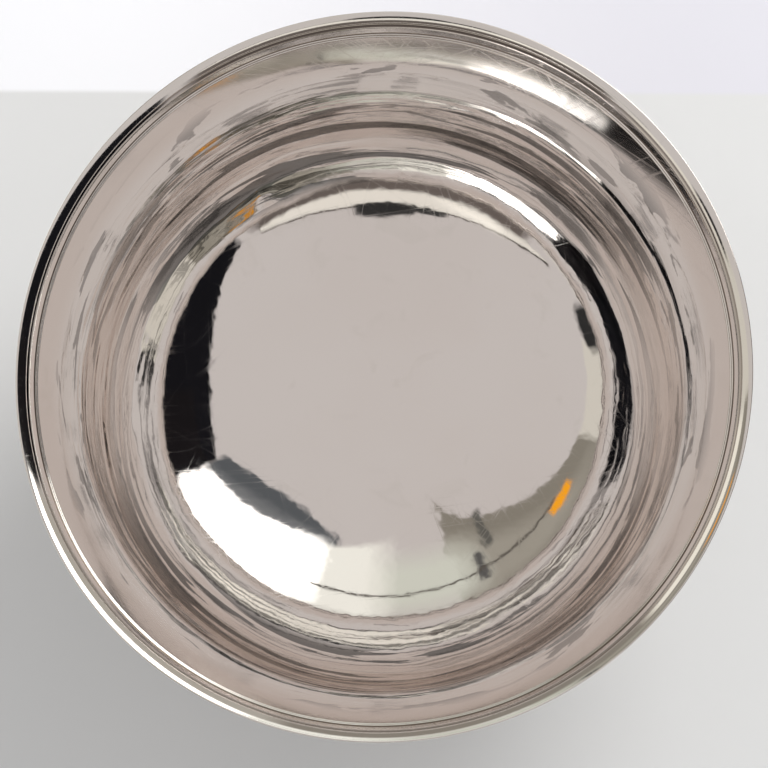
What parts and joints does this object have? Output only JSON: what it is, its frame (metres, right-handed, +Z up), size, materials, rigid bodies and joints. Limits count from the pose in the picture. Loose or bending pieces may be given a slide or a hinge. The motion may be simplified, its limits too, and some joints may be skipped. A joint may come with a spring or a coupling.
{
  "type": "punch bowl",
  "caption": "Round footed punch bowl of polished, planished silver: deep rounded body, flared mouth with a crowned lip wire and fine reeding, spreading foot.",
  "frame": {"origin": "on the axis of the bowl, in the plane that the foot stands on", "axes": "+Z up along the axis of the bowl, +X and +Y in the plane it stands on"},
  "size_m": [0.3, 0.3, 0.1677],
  "materials": {
    "hammered_silver": "polished raised silver with soft planishing ripples and hairline scratches",
    "rim_silver": "bright polished drawn silver wire, darker in the grooves",
    "foot_silver": "polished silver with slight handling wear"
  },
  "bodies": {
    "root": {"bowl_shell": "hammered_silver", "lip_wire": "rim_silver", "reed_wire": "rim_silver", "neck_wire": "foot_silver", "foot_skirt": "foot_silver", "foot_wire": "foot_silver"}
  },
  "joints": []
}
